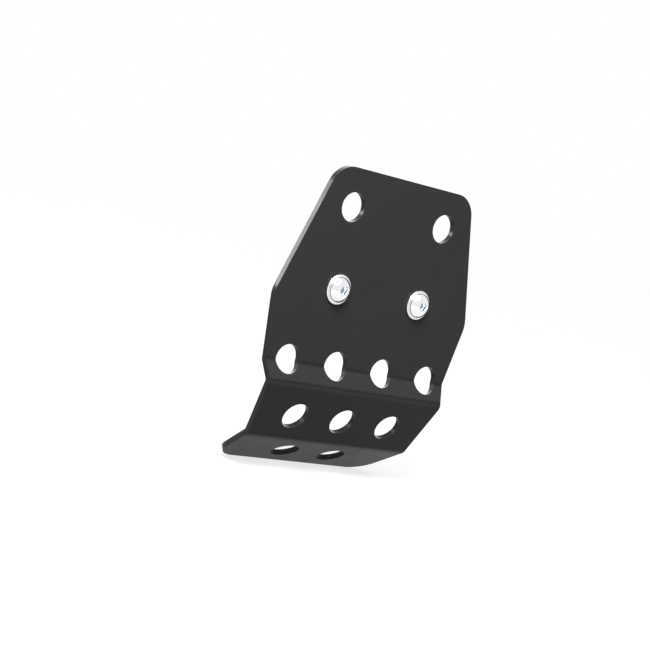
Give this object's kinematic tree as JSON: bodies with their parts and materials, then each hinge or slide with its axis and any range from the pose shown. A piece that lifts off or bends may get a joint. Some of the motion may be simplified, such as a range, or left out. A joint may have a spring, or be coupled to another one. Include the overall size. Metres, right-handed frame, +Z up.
{
  "type": "motorcycle engine guard",
  "caption": "Folded sheet-metal engine guard with tapered sides, lightening holes and a rear panel that turns under the engine, held by button-head screws on washers.",
  "frame": {"origin": "midway between the axes of the two screws, on the back face of the upper panel, where the guard lies against the motorcycle's frame", "axes": "+X across the guard, to the right as seen from the front; +Y back towards the engine, square to the upper panel; +Z up along the upper panel. On the motorcycle the top leans about 22 degrees forward of this."},
  "size_m": [0.1794, 0.0521, 0.2115],
  "materials": {
    "black_coat": "satin black powder coat",
    "plated_screw": "bright zinc or chrome plate",
    "plated_washer": "bright zinc plate"
  },
  "bodies": {
    "root": {"guard_plate": "black_coat", "screw_left": "plated_screw", "screw_right": "plated_screw", "washer_left": "plated_washer", "washer_right": "plated_washer"}
  },
  "joints": []
}
